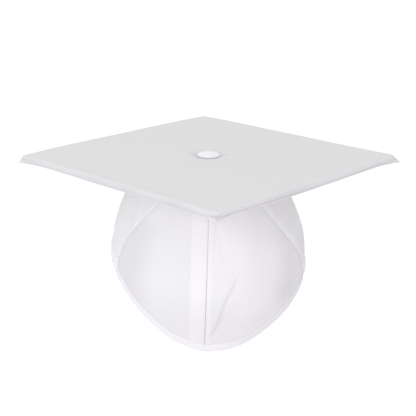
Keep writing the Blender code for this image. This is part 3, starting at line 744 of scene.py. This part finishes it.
# ============================================================ button
def build_button():
    rings, segments = [], 120
    a = np.arange(segments) / segments * 2 * math.pi
    height = BUTTON_HIGH - BUTTON_LOW
    low = BUTTON_LOW + 0.0006
    for phi in np.linspace(3, 90, 24):
        r = BUTTON_RADIUS * math.sin(math.radians(phi)) ** 0.93
        z = low + (height - 0.0006) * math.cos(math.radians(phi)) ** 0.85 if phi < 90 else low
        rings.append((r, z))
    rings += [(BUTTON_RADIUS - 0.00010, low - 0.0002), (BUTTON_RADIUS - 0.0004, low - 0.0004),
              (BUTTON_RADIUS - 0.0010, BUTTON_LOW + 0.0001), (BUTTON_RADIUS - 0.0020, BUTTON_LOW + 0.00004), (BUTTON_RADIUS - 0.0029, BUTTON_LOW + 0.00004)]
    rows = []
    for i, (r, z) in enumerate(rings):
        rim = smooth(r, 0.0075, BUTTON_RADIUS) if i < 24 else 1.0
        pleat = -0.00010 * rim * (0.5 + 0.5 * np.sin(34 * a + 1.5 * np.sin(5 * a))) if i >= 18 else 0 * a
        dent = -0.00005 * ripple(r * np.cos(a), r * np.sin(a), 0.006, 91) * (1 if i < 24 else 0)
        rr = r + pleat
        rows.append(np.stack([rr * np.cos(-a), rr * np.sin(-a), np.full(segments, z) + np.minimum(dent, 0)], -1))
    p = np.stack(rows)[:, ::-1]
    uv = p[..., :2].copy()
    # the crown of the dome is closed by a last small ring at the axis
    tip = np.broadcast_to(np.array([0.0, 0.0, BUTTON_HIGH]), (1, segments, 3)) + (p[:1] - np.array([0, 0, BUTTON_HIGH])) * 0.02
    p = np.concatenate([tip, p])
    uv = np.concatenate([tip[..., :2], uv])
    # painted shade: the dome's lowest rings and the cloth tucked under it are darkened, and its rear half is a little
    # darker than its front
    obj = shell("button_cloth_cover", p, uv, 0.0004, wrap=True, attributes={
        "doubled_and_highlight": np.zeros(p.shape[:2]), "shade": np.maximum(np.array([0.0] * 22 + [0.3, 0.7] + [1.0] * (len(p) - 24))[:, None], 0.34 * smooth(p[..., 1], -0.003, 0.007))})
    return obj


button = build_button()
dress(button, button_cloth)
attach(button, "button")
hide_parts("button_cover")


# ============================================================ crown panels
def spread(start, end, count):
    """Column angles, closer together near both edges of a panel."""
    x = np.linspace(-1, 1, count)
    x = 0.65 * x + 0.35 * np.sin(x * math.pi / 2)
    return start[:, None] + (end - start)[:, None] * (x[None, :] + 1) / 2


def billow(name, p_full, angle_full, z_full):
    """The back panels are cut wider than the crown is round, so the cloth between its
    seams buckles into upright folds: a short cloth simulation, held along the seams and
    the casing, whose rest shape is wider than its starting shape."""
    pick_r = np.unique(np.append(np.arange(0, p_full.shape[0], 2), p_full.shape[0] - 1))
    pick_c = np.unique(np.append(np.arange(0, p_full.shape[1], 2), p_full.shape[1] - 1))
    p, angle, z = (x[np.ix_(pick_r, pick_c)] for x in (p_full, angle_full, z_full))
    rows, cols = p.shape[:2]
    idx = np.arange(rows * cols).reshape(rows, cols)
    quads = np.stack([idx[:-1, :-1], idx[1:, :-1], idx[1:, 1:], idx[:-1, 1:]], -1).reshape(-1, 4)
    mesh = bpy.data.meshes.new(name + "_trial")
    mesh.from_pydata(p.reshape(-1, 3).tolist(), [], quads.tolist())
    trial = bpy.data.objects.new(name + "_trial", mesh)
    bpy.context.scene.collection.objects.link(trial)
    rise = z - hem(angle)
    hold = np.zeros((rows, cols))
    hold[0] = 1.0
    hold[:, 0] = hold[:, -1] = 1.0
    hold = np.maximum(hold, 1.0 - smooth(rise, CASING_HEIGHT - 0.001, CASING_HEIGHT + 0.001))
    trial.shape_key_add(name="Basis")
    cut = trial.shape_key_add(name="cut")
    wide = p * np.array([1.09, 1.09, 1.0])
    cut.data.foreach_set("co", wide.astype(np.float32).ravel())
    group = trial.vertex_groups.new(name="held")
    for i in np.nonzero(hold.ravel() > 0.5)[0].tolist():
        group.add([i], 1.0, "REPLACE")
    cloth = trial.modifiers.new("cloth", "CLOTH")
    settings = cloth.settings
    settings.quality = 7
    settings.mass = 0.02
    settings.tension_stiffness = settings.compression_stiffness = 12.0
    settings.shear_stiffness = 4.0
    settings.bending_stiffness = 0.05
    settings.air_damping = 2.0
    settings.use_dynamic_mesh = False
    settings.rest_shape_key = cut
    settings.vertex_group_mass = "held"
    settings.effector_weights.gravity = 0.1
    cloth.collision_settings.use_collision = False
    cloth.point_cache.frame_start, cloth.point_cache.frame_end = 1, 22
    for frame_number in range(1, 23):
        bpy.context.scene.frame_set(frame_number)
    made = trial.evaluated_get(bpy.context.evaluated_depsgraph_get())
    moved = np.zeros(rows * cols * 3, np.float32)
    made.data.vertices.foreach_get("co", moved)
    moved = moved.reshape(rows, cols, 3).astype(float)
    bpy.context.scene.frame_set(1)
    bpy.data.objects.remove(trial)
    bpy.data.meshes.remove(mesh)
    n = grid_normals(p, False)
    away = np.sum((moved - p) * n, -1)
    away = np.nan_to_num(away)
    away = away - 0.7 * away[rows // 8:rows * 3 // 4].mean()
    away = np.where(away > 0, 0.0024 * np.tanh(away / 0.0024), 0.0011 * np.tanh(away / 0.0011))
    step = np.linalg.norm(np.diff(p, axis=1), axis=-1)
    run = np.concatenate([np.zeros((rows, 1)), np.cumsum(step, axis=1)], axis=1)
    away = away * smooth(rise, CASING_HEIGHT - 0.002, CASING_HEIGHT + 0.010) * smooth(CROWN_TOP - z, 0.0, 0.006)
    away = away * smooth(run, 0.0, 0.007) * smooth(run[:, -1:] - run, 0.0, 0.007)
    # back to the finer grid
    across = np.array([np.interp(np.arange(p_full.shape[1]), pick_c, row) for row in away])
    fine = np.array([np.interp(np.arange(p_full.shape[0]), pick_r, col) for col in across.T]).T
    for _ in range(2):
        fine[1:-1, 1:-1] = (fine[1:-1, 1:-1] * 2 + fine[:-2, 1:-1] + fine[2:, 1:-1] + fine[1:-1, :-2] + fine[1:-1, 2:]) / 6
    return p_full + grid_normals(p_full, False) * fine[..., None]


def panel(name, start, end, cols, rows, doubled_and_highlight, back=False):
    """start(t) and end(t) are the panel's edge angles. The first rows are the seam
    allowance turned in under the board."""
    t = np.linspace(0, 1, rows) ** 1.0
    angle = spread(start(t), end(t), cols)
    tt = np.broadcast_to(t[:, None], angle.shape)
    low = hem(angle)
    z = CROWN_TOP + (low - CROWN_TOP) * tt
    d = relief(angle, z, tt, back)
    if back:
        d = d + gathers(angle, z, tt)
    # nothing stands out where the cloth is held by the seam at the board
    d = d * smooth(tt, 0.0, 0.03)
    z = z - 0.00002
    p = crown(angle, z, d)
    if back:
        p = billow(name, p, angle, z)
    # the turned-in allowance
    head = []
    for share in (1.0, 0.75, 0.5, 0.25, 0.1, 0.03):
        q = crown(angle[0], np.full(cols, CROWN_TOP))
        flat = q[:, :2] / np.linalg.norm(q[:, :2], axis=1, keepdims=True)
        q = q.copy()
        q[:, :2] -= flat * FLANGE * share
        q[:, 2] -= 0.00003 + 0.00025 * (1 - share) ** 6
        head.append(q)
    p = np.concatenate([np.stack(head), p])
    arc = np.radians(angle) * 0.088
    uv = np.stack([arc, z], -1)
    top_uv = np.stack([np.broadcast_to(arc[0], (6, cols)), np.broadcast_to(np.array([FLANGE * s for s in (1.0, 0.75, 0.5, 0.25, 0.1, 0.03)])[:, None] + CROWN_TOP, (6, cols))], -1)
    uv = np.concatenate([top_uv, uv])
    paint = np.concatenate([np.zeros((6, cols)), doubled_and_highlight(angle, z, tt)])
    # painted shade: the cloth is darkened a little towards the point and the bottom, low on the right above the
    # binding, and on the sides of the front panels and of the right back panel
    wrapped = (angle + 180.0) % 360.0 - 180.0
    painted_shade = 0.28 * smooth(-z, -0.012, 0.026) * (1 - smooth(wrapped, 4.0, 30.0)) + 0.05 * smooth(wrapped, 16.0, 60.0) * (1 - smooth(z, 0.01, 0.05)) + 0.24 * bell(wrapped - 48.0, 9.0) * bell(z + 0.007, 0.014) + 0.20 * bell(wrapped - 30.0, 13.0) * bell(z - low - 0.014, 0.012)
    if back:
        sides = 0.30 * smooth(wrapped, 36.0, 56.0) * (1 - smooth(z, 0.022, 0.044)) * (1 - smooth(wrapped, 95.0, 120.0))
    else:
        sides = (0.36 * smooth(-wrapped, 28.0, 48.0) + 0.30 * smooth(wrapped, 36.0, 56.0)) * (1 - smooth(z, 0.050, 0.066))
    painted_shade = painted_shade + sides * smooth(z, -0.030, 0.000)
    painted_shade = np.concatenate([np.zeros((6, cols)), np.clip(painted_shade, 0, 1)])
    return shell(name, p, uv, CLOTH, attributes={"doubled_and_highlight": paint, "shade": painted_shade})


def double_and_highlight_front(angle, z, t):
    s = seam_distance(angle, z, t, 0)
    left = (1 - smooth(-s, STAY_LEFT - 0.0004, STAY_LEFT + 0.0010)) * (s < 0)
    right = (1 - smooth(s, STAY_RIGHT - 0.0004, STAY_RIGHT + 0.0010)) * (s >= 0) * 0.85
    side = 0.0
    for which in (1, -1):
        w = seam_distance(angle, z, t, which) * which
        side = np.maximum(side, 0.10 * (1 - smooth(-w, 0.0050, 0.0090)) * (w < 0))
    # painted highlight: a lighter patch to the right of the centre seam
    painted_highlight = 1.0 * (s > 0) * smooth(s, 0.004, 0.007) * (1 - smooth(s, 0.024, 0.052)) * bell(z - 0.050, 0.042)
    # painted light: the cloth is lightened near the board, fading downwards, against the board's shade
    return np.maximum(np.maximum(left + right, side), np.maximum(painted_highlight, 0.9 * np.exp(-(CROWN_TOP - z) / 0.024)))


def double_and_highlight_back(angle, z, t):
    side = 0.0
    for which in (1, -1):
        w = seam_distance(angle, z, t, which) * which
        side = np.maximum(side, (0.30 if which == 1 else 0.0) * (1 - smooth(w, 0.0052, 0.0080)) * (w >= 0))
    s = np.abs(seam_distance(angle, z, t, 2))
    # painted light: the cloth is lightened near the board, fading downwards, against the board's shade
    return np.maximum(np.maximum(side, 0.8 * (1 - smooth(s, 0.0066, 0.0078))), 0.7 * np.exp(-(CROWN_TOP - z) / 0.020))


E = 0.03
flat_t = lambda value: (lambda t: np.full(np.shape(t), value))
on_crown(panel("front_left_cloth", left_seam, flat_t(-E), 84, 120, double_and_highlight_front),
         crown_cloth, "crown_cloth", "front_left_panel")
on_crown(panel("front_right_cloth", flat_t(E), side_seam, 84, 120, double_and_highlight_front),
         crown_cloth, "crown_cloth", "front_right_panel")
on_crown(panel("back_right_cloth", side_seam, flat_t(180 - E), 170, 80, double_and_highlight_back, True),
         back_cloth, "crown_cloth", "back_right_panel")
on_crown(panel("back_left_cloth", flat_t(180 + E), lambda t: 360 + left_seam(t), 170, 80, double_and_highlight_back, True),
         back_cloth, "crown_cloth", "back_left_panel")


# ============================================================ hem binding and casing
def leaf_out(k, leaf, bulge):
    """How far a strip stands off the crown at a share of its height: sewn down flat
    along its upper edge, fuller below."""
    return 0.00012 + (leaf - 0.00012) * (1 - math.exp(-(1 - k) / 0.20)) + bulge * math.sin(math.pi * (1 - k))


def folded_strip(name, angles, height, inner_gap, leaf, bulge, seed, back):
    """A strip folded round the crown's edge: outer leaf, rounded fold, inner leaf."""
    low = hem(angles)
    arc = np.radians(angles) * 0.092
    closed = smooth(np.minimum(angles - angles[0], angles[-1] - angles), 0.0, 3.5)
    profile = []                       # (out, rise) of the strip's outer surface
    for k in (1.0, 0.97, 0.93, 0.87, 0.80, 0.70, 0.58, 0.44, 0.30, 0.17, 0.06):
        profile.append((leaf_out(k, leaf, bulge), height * k))
    for phi in np.linspace(0, 180, 9):
        c, s = math.cos(math.radians(phi)), math.sin(math.radians(phi))
        middle, reach = (leaf - inner_gap) / 2, (leaf + inner_gap) / 2
        profile.append((middle + reach * c, -0.0003 * s))
    for k in np.linspace(0.06, 1.0, 7):
        profile.append((-inner_gap, height * k))
    rows, uv, run = [], [], 0.0
    wrapped = np.abs((angles + 180.0) % 360.0 - 180.0)
    for i, (out, rise) in enumerate(profile):
        z = low + rise
        t = np.clip((CROWN_TOP - z) / (CROWN_TOP - low), 0, 1)
        d = relief(angles, z, t, back)
        if back:
            d = d + gathers(angles, z, t)
            d = d + 0.0007 * np.sin(arc / 0.0062 * 2 * math.pi + 3 * ripple(arc, 0 * arc, 0.05, seed)) * smooth(wrapped, RIGHT_HEM + 1, RIGHT_HEM + 14) * math.sin(math.pi * min(1, max(0.0, rise / height)))
        else:
            stitch = np.sin(arc / 0.0031 * 2 * math.pi)
            pull = 0.00009 + 0.00016 * bell(angles - 34, 16)
            d = d + pull * stitch * math.exp(-abs(rise - height * 0.88) / 0.0022)
            z = z + 0.00025 * ripple(arc, 0 * arc, 0.045, seed)
        side = 0.00012 if i < 16 else -CLOTH - 0.00012
        rows.append(crown(angles, z, side + (out - side) * closed + d))
        if i:
            run += math.hypot(profile[i][0] - profile[i - 1][0], profile[i][1] - profile[i - 1][1])
        uv.append(np.stack([arc, np.full(len(angles), run)], -1))
    p = np.stack(rows)
    # painted shade: the front binding darkens towards its right-hand part
    return shell(name, p, np.stack(uv), 0.00035, attributes={"doubled_and_highlight": np.ones(p.shape[:2]) * (0.6 if back else 0.0),
                                                              "shade": np.ones(p.shape[:2]) * (0.0 if back else 0.24) * smooth(angles, 4.0, 26.0)})


front_angles = np.linspace(-LEFT_HEM - 0.5, RIGHT_HEM + 0.5, 290)
back_angles = np.linspace(RIGHT_HEM, 360 - LEFT_HEM, 520)
on_crown(folded_strip("hem_binding_cloth", front_angles, BINDING_HEIGHT, 0.0012, 0.00050, 0.00020, 101, False),
         hem_cloth, "hem_tape", "hem_binding")
on_crown(folded_strip("elastic_casing_cloth", back_angles, CASING_HEIGHT, 0.0040, 0.00080, 0.00050, 102, True),
         back_cloth, "casing_cloth", "elastic_casing")


def band(name, angles, low_rise, high_rise, inset, thick, rows_n=5, waves=False):
    arc = np.radians(angles) * 0.088
    rows, uv = [], []
    for k in np.linspace(1, 0, rows_n):
        z = hem(angles) + low_rise + (high_rise - low_rise) * k
        t = np.clip((CROWN_TOP - z) / (CROWN_TOP - hem(angles)), 0, 1)
        d = gathers(angles, z, t) * 0.8 if waves else 0.0
        rows.append(crown(angles, z, -inset + d))
        uv.append(np.stack([arc, np.full(len(angles), (high_rise - low_rise) * (1 - k))], -1))
    p = np.stack(rows)
    return shell(name, p, np.stack(uv), thick, attributes={"doubled_and_highlight": np.zeros(p.shape[:2])})


on_crown(band("elastic_band_knit", np.linspace(RIGHT_HEM + 0.2, 360 - LEFT_HEM - 0.2, 420), 0.0020, 0.0120, 0.0018, 0.0008, 7, True),
         knit_look, "elastic_webbing", "elastic_band")


def build_stay():
    """The tape behind the centre front seam."""
    rows, uv, paint = [], [], []
    cols = np.linspace(-STAY_LEFT, STAY_RIGHT, 14)
    angle = np.degrees(cols / 0.090)
    low = hem(angle) + BINDING_HEIGHT + 0.0004
    for k in np.linspace(0, 1, 90):
        z = (CROWN_TOP - 0.0016) + (low - (CROWN_TOP - 0.0016)) * k
        t = np.clip((CROWN_TOP - z) / (CROWN_TOP - hem(angle)), 0, 1)
        d = relief(angle, z, t)
        rows.append(crown(angle, z, d - CLOTH - 0.00025))
        uv.append(np.stack([cols, z], -1))
    p = np.stack(rows)
    return shell("front_stay_tape", p, np.stack(uv), 0.0004, attributes={"doubled_and_highlight": np.zeros(p.shape[:2])})


on_crown(build_stay(), tape_cloth, "stay_tape", "front_seam_stay")


# ============================================================ stitches
def stitches(name, path, outward, pitch, length, radius, sink=0.00008):
    """A row of separate stitches: short rounded threads that dip at both ends, laid
    along a path that has an outward direction at each point."""
    path, outward = np.asarray(path), np.asarray(outward)
    gone = np.concatenate([[0], np.cumsum(np.linalg.norm(np.diff(path, axis=0), axis=1))])
    count = int(gone[-1] / pitch)
    start = (gone[-1] - count * pitch) / 2 + (pitch - length) / 2

    def at(x):
        return np.array([np.interp(x, gone, path[:, i]) for i in range(3)]), np.array([np.interp(x, gone, outward[:, i]) for i in range(3)])

    around, along = 6, 7
    points, faces, uvs = [], [], []
    for s in range(count):
        base = len(points)
        for i in range(along):
            f = i / (along - 1)
            c, n = at(start + s * pitch + f * length)
            n = n / np.linalg.norm(n)
            ahead, _ = at(start + s * pitch + f * length + 1e-4)
            behind, _ = at(start + s * pitch + f * length - 1e-4)
            tangent = ahead - behind
            tangent = tangent / max(np.linalg.norm(tangent), 1e-9)
            n = n - tangent * (n @ tangent)
            n = n / np.linalg.norm(n)
            b = np.cross(tangent, n)
            fat = radius * (0.35 + 0.65 * math.sin(math.pi * min(1, max(0.0, f))) ** 0.5)
            centre = c + n * (radius * 0.9 * math.sin(math.pi * f) ** 0.6 - sink)
            for j in range(around):
                a = 2 * math.pi * j / around
                points.append(centre + fat * (math.cos(a) * n + math.sin(a) * b))
                uvs.append((f * length, j / around))
        for i in range(along - 1):
            for j in range(around):
                k = (j + 1) % around
                faces.append([base + i * around + j, base + i * around + k, base + (i + 1) * around + k, base + (i + 1) * around + j])
        faces.append([base + j for j in range(around)][::-1])
        faces.append([base + (along - 1) * around + j for j in range(around)])
    return make_mesh(name, np.array(points), faces, np.array(uvs))


def crown_path(angle, z, out):
    p = crown(angle, z, out)
    n = np.stack([np.sin(np.radians(angle)), -np.cos(np.radians(angle)), 0 * np.asarray(z, float)], -1)
    return p, n


def hem_stitch_path(angles, rise, out, back):
    z = hem(angles) + rise
    t = np.clip((CROWN_TOP - z) / (CROWN_TOP - hem(angles)), 0, 1)
    d = relief(angles, z, t, back)
    arc = np.radians(angles) * 0.092
    if back:
        wrapped = np.abs((angles + 180.0) % 360.0 - 180.0)
        d = d + gathers(angles, z, t) + 0.0007 * np.sin(arc / 0.0062 * 2 * math.pi + 3 * ripple(arc, 0 * arc, 0.05, 102)) * smooth(wrapped, RIGHT_HEM + 1, RIGHT_HEM + 14) * math.sin(math.pi * rise / CASING_HEIGHT)
    else:
        z = z + 0.00025 * ripple(arc, 0 * arc, 0.045, 101)
    return crown_path(angles, z, out + d)


HEM_LEAF, HEM_BULGE, CASING_LEAF, CASING_BULGE = 0.00050, 0.00020, 0.00080, 0.00050
fine_front = np.linspace(-LEFT_HEM + 0.6, RIGHT_HEM - 0.6, 900)
fine_back = np.linspace(RIGHT_HEM + 0.6, 360 - LEFT_HEM - 0.6, 1800)
path, n = hem_stitch_path(fine_front, BINDING_HEIGHT * 0.88, leaf_out(0.88, HEM_LEAF, HEM_BULGE), False)
on_crown(stitches("hem_stitching", path, n, 0.0031, 0.0023, 0.00020), thread_look, "thread", "hem_thread")
path, n = hem_stitch_path(fine_back, CASING_HEIGHT * 0.90, leaf_out(0.90, CASING_LEAF, CASING_BULGE), True)
on_crown(stitches("casing_stitching", path, n, 0.0034, 0.0025, 0.00022), thread_look, "thread", "elastic_thread")


def seam_stitch_path(line, inset, top, bottom_gap):
    t = np.linspace(top, 1.0, 400)
    angle = line(t)
    z = CROWN_TOP + (hem(angle) - CROWN_TOP) * t
    keep = z > hem(angle) + bottom_gap
    t, angle, z = t[keep], angle[keep], z[keep]
    d = relief(angle, z, t)
    p, n = crown_path(angle, z, d - inset)
    return p, -n


path, n = seam_stitch_path(lambda t: 0 * t - 0.25, CLOTH + 0.00075, 0.04, 0.009)
on_crown(stitches("front_seam_stitching", path, n, 0.0027, 0.0021, 0.00019), thread_look, "thread", "front_seam_thread")
path, n = seam_stitch_path(lambda t: 0 * t + 180.0, CLOTH + 0.0003, 0.04, 0.037)
on_crown(stitches("back_seam_stitching", path, n, 0.0027, 0.0021, 0.00019), thread_look, "thread", "back_seam_thread")
path, n = seam_stitch_path(left_seam, CLOTH + 0.0003, 0.04, 0.017)
on_crown(stitches("side_seam_stitching_left", path, n, 0.0027, 0.0021, 0.00019), thread_look, "thread", "side_seam_thread_left")
path, n = seam_stitch_path(side_seam, CLOTH + 0.0003, 0.04, 0.017)
on_crown(stitches("side_seam_stitching_right", path, n, 0.0027, 0.0021, 0.00019), thread_look, "thread", "side_seam_thread_right")
ring = np.linspace(0, 360, 900)
path, n = crown_path(ring, np.full(900, CROWN_TOP - 0.0005), 0.0004)
on_crown(stitches("crown_seam_stitching", path, n, 0.0029, 0.0023, 0.00018), thread_look, "thread", "crown_seam_thread")


# ============================================================ blank label
def build_label():
    low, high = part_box("care_label")
    width = high.x - low.x
    cols, rows_n = 26, 18
    x = np.linspace(-width / 2, width / 2, cols)
    rows, uv = [], []
    for k in np.linspace(1, 0, rows_n):
        z0 = low.z + (high.z - low.z) * k
        angle = 180.0 - np.degrees(x / 0.086) - (TWIST_TOP + TWIST_POINT * 0.6)
        curl = 0.0012 * (1 - k) ** 2 + 0.00035 * np.sin(x / width * 5)
        rows.append(crown(angle, np.full(cols, z0), -0.0026 - curl))
        uv.append(np.stack([x, np.full(cols, z0)], -1))
    p = np.stack(rows)
    return shell("care_label_blank", p, np.stack(uv), 0.00025, attributes={"doubled_and_highlight": np.zeros(p.shape[:2])})


on_crown(build_label(), label_cloth, "label_satin", "care_label")

# ============================================================ stage, light, camera
def plane(name, size, z):
    mesh = bpy.data.meshes.new(name)
    h = size / 2
    mesh.from_pydata([(-h, -h, z), (h, -h, z), (h, h, z), (-h, h, z)], [], [(0, 1, 2, 3)])
    obj = bpy.data.objects.new(name, mesh)
    bpy.context.scene.collection.objects.link(obj)
    return obj


floor = plane("floor", 80.0, -1.3)
m = Nodes("pale_floor")
m.shader.inputs["Base Color"].default_value = (0.92, 0.92, 0.92, 1.0)
m.shader.inputs["Roughness"].default_value = 0.9
m.shader.inputs["Emission Color"].default_value = (1.0, 1.0, 1.0, 1.0)
GLOW = 0.115
m.shader.inputs["Emission Strength"].default_value = GLOW
dress(floor, m.mat)

world = bpy.data.worlds.new("studio")
bpy.context.scene.world = world
world.use_nodes = True
sky = world.node_tree.nodes["Background"]
sky.inputs["Color"].default_value = (1.0, 1.0, 1.0, 1.0)
WORLD = 1.0
sky.inputs["Strength"].default_value = WORLD


def area(name, place, target, size, power, colour=(1.0, 1.0, 1.0)):
    light = bpy.data.lights.new(name, "AREA")
    light.shape = "RECTANGLE"
    light.size, light.size_y = size
    light.energy = power
    light.color = colour
    obj = bpy.data.objects.new(name, light)
    obj.location = place
    direction = Vector(target) - Vector(place)
    obj.rotation_euler = direction.to_track_quat("-Z", "Y").to_euler()
    bpy.context.scene.collection.objects.link(obj)
    return obj


LIGHTS = [
    ("key_front_left", (-0.9, -1.6, 0.55), (0, 0, 0.04), (1.2, 1.0), 12.0),
    ("fill_front_right", (1.2, -1.3, 0.35), (0, 0, 0.04), (1.0, 1.0), 3.4),
    ("side_left", (-1.7, -0.3, 0.05), (0, 0, 0.02), (0.8, 1.0), 0.8),
]
for row in LIGHTS:
    area(*row)
bpy.data.objects["fill_front_right"].data.color = (1.0, 0.94, 0.975)

scene = bpy.context.scene
scene.view_settings.view_transform = "Standard"
scene.view_settings.look = "None"
scene.view_settings.exposure = 0.0
scene.view_settings.gamma = 1.0

# the photograph's viewing angle: level with the front corner, looking down 18 degrees
PITCH, ROLL, YAW = math.radians(17.975), math.radians(0.61), math.radians(-1.89)
forward = Vector((0, math.cos(PITCH), -math.sin(PITCH)))
right = Vector((1, 0, 0))
up = right.cross(forward)
r = right * math.cos(ROLL) + up * math.sin(ROLL)
u = up * math.cos(ROLL) - right * math.sin(ROLL)
turn = Matrix.Rotation(YAW, 3, "Z")
place = turn @ Vector((0.0001, -0.8217, 0.2156)) + Vector((0, 0, BOARD_TOP))
basis = turn @ Matrix((r, u, -forward)).transposed()
camera_data = bpy.data.cameras.new("camera")
camera_data.sensor_fit = "HORIZONTAL"
camera_data.sensor_width = 36.0
camera_data.lens = 80.21
camera_data.clip_start = 0.01
camera_data.clip_end = 50.0
camera = bpy.data.objects.new("camera", camera_data)
camera.matrix_world = Matrix.Translation(place) @ basis.to_4x4()
scene.collection.objects.link(camera)
scene.camera = camera
